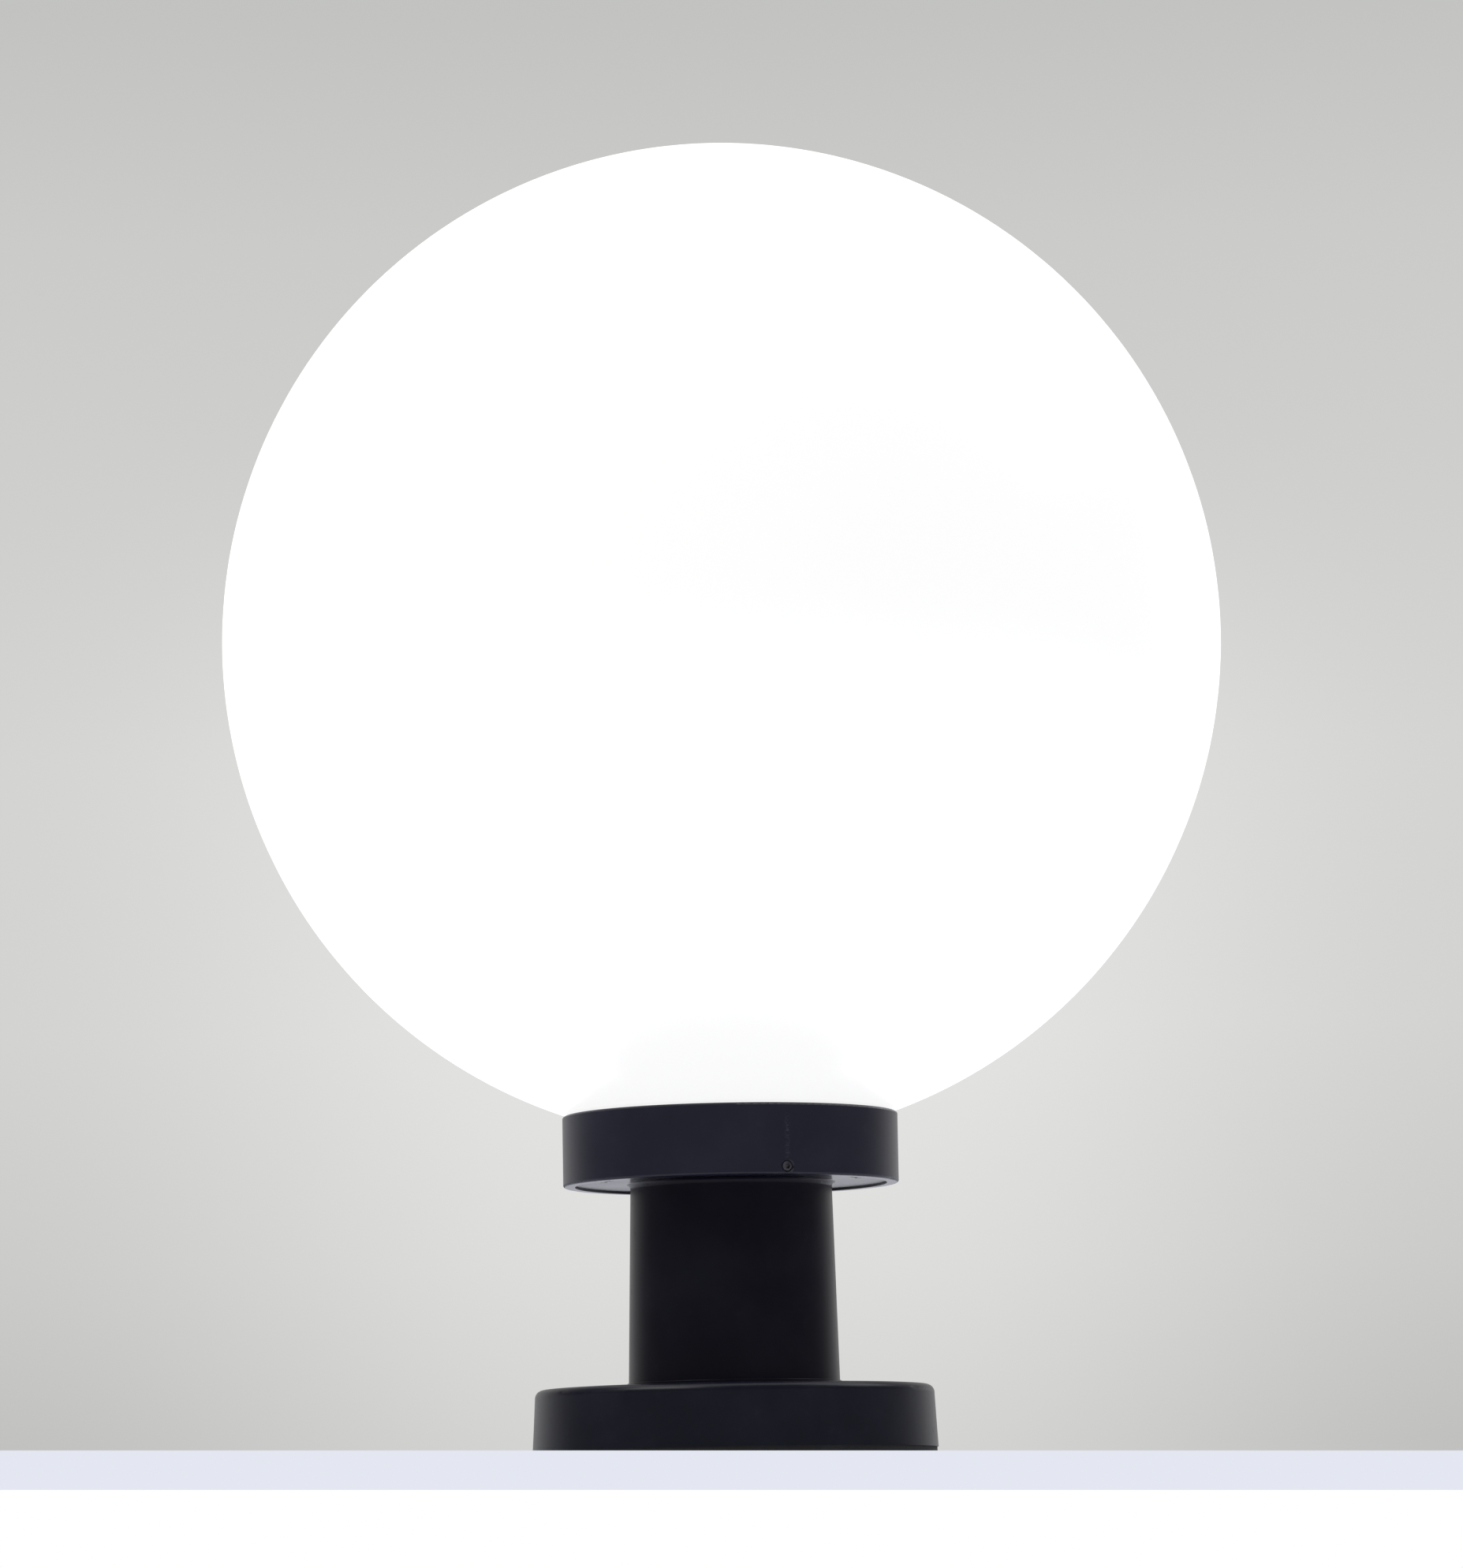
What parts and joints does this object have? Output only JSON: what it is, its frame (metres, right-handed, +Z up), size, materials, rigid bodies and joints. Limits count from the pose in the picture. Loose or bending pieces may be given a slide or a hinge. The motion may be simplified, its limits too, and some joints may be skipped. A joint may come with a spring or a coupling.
{
  "type": "garden globe light",
  "caption": "Outdoor pedestal light: a lit opal globe in a black collar on a short tapered post and a round foot, with a screw-in lamp inside and a foot that bolts down.",
  "frame": {"origin": "middle of the foot's underside, on the ground", "axes": "+Z up along the post, -Y is the front seen in the picture, +X is the right-hand side"},
  "size_m": [0.3, 0.3, 0.3933],
  "materials": {
    "opal_globe": "satin opal, lit from inside",
    "black_plastic": "fine satin moulding texture",
    "black_rubber": "matte",
    "sponge_rubber": "matte, open cells",
    "clear_silicone": "translucent, satin",
    "zinc_steel": "zinc plated",
    "stainless_steel": "bright turned",
    "brass": "bare turned",
    "nickel_plate": "nickel plated, satin",
    "holder_plastic": "matte thermoset",
    "holder_ceramic": "unglazed",
    "block_nylon": "translucent natural nylon",
    "brown_insulation": "satin",
    "blue_insulation": "satin",
    "lamp_housing_white": "gloss",
    "lamp_diffuser": "frosted, lit from inside",
    "black_glass": "gloss glass",
    "led_board_white": "solder resist",
    "led_phosphor": "silicone gel",
    "circuit_green": "solder resist",
    "capacitor_sleeve": "shrink sleeve"
  },
  "bodies": {
    "pedestal": {"base_cover": "black_plastic", "base_plate": "black_plastic", "base_gasket": "black_rubber", "base_plate_screws": "zinc_steel", "cable_grommet": "black_rubber", "post": "black_plastic", "holder_plate": "zinc_steel", "plate_screws": "stainless_steel", "plate_nuts": "zinc_steel", "collar_gasket": "sponge_rubber", "threaded_tube": "zinc_steel", "lower_washer": "zinc_steel", "lower_nut": "zinc_steel", "upper_nut": "zinc_steel", "terminal_block": "block_nylon", "terminal_inserts": "brass", "terminal_screws": "zinc_steel", "terminal_block_screw": "zinc_steel", "live_lead": "brown_insulation", "neutral_lead": "blue_insulation", "holder_base": "holder_plastic", "holder_sleeve": "holder_plastic", "holder_insert": "holder_ceramic", "holder_shell": "nickel_plate", "holder_contact": "brass", "holder_terminals": "brass", "holder_screws": "zinc_steel"},
    "globe_unit": {"collar": "black_plastic", "neck_seal": "clear_silicone", "globe": "opal_globe"},
    "lock_screw_front": {"lock_screw_front": "stainless_steel"},
    "lock_screw_right": {"lock_screw_right": "stainless_steel"},
    "lock_screw_left": {"lock_screw_left": "stainless_steel"},
    "lamp_tip": {"bulb_contact": "nickel_plate", "bulb_cap_insulator": "black_glass"},
    "lamp": {"bulb_cap": "nickel_plate", "bulb_housing": "lamp_housing_white", "bulb_dome": "lamp_diffuser", "led_board": "led_board_white", "led_chips": "led_phosphor", "driver_board": "circuit_green", "driver_capacitor": "capacitor_sleeve"}
  },
  "joints": [
    {"name": "globe_lift", "type": "slide", "parent": "pedestal", "child": "globe_unit", "axis": [0, 0, 1], "range_m": [0, 0.16]},
    {"name": "lamp_rise", "type": "slide", "parent": "pedestal", "child": "lamp_tip", "axis": [0, 0, 1], "range_m": [0, 0.02]},
    {"name": "lamp_turn", "type": "hinge", "parent": "lamp_tip", "child": "lamp", "pos_m": [0, 0, 0.125], "axis": [0, 0, 1], "range_deg": [0, 1980]},
    {"name": "lock_front_release", "type": "slide", "parent": "globe_unit", "child": "lock_screw_front", "axis": [0.3338, -0.9426, 0], "range_m": [0, 0.0025]},
    {"name": "lock_right_release", "type": "slide", "parent": "globe_unit", "child": "lock_screw_right", "axis": [0.6494, 0.7604, 0], "range_m": [0, 0.0025]},
    {"name": "lock_left_release", "type": "slide", "parent": "globe_unit", "child": "lock_screw_left", "axis": [-0.9833, 0.1822, 0], "range_m": [0, 0.0025]}
  ],
  "couplings": [
    {"joint": "lamp_rise", "follows": "lamp_turn", "m_per_rad": 0.00057757}
  ]
}
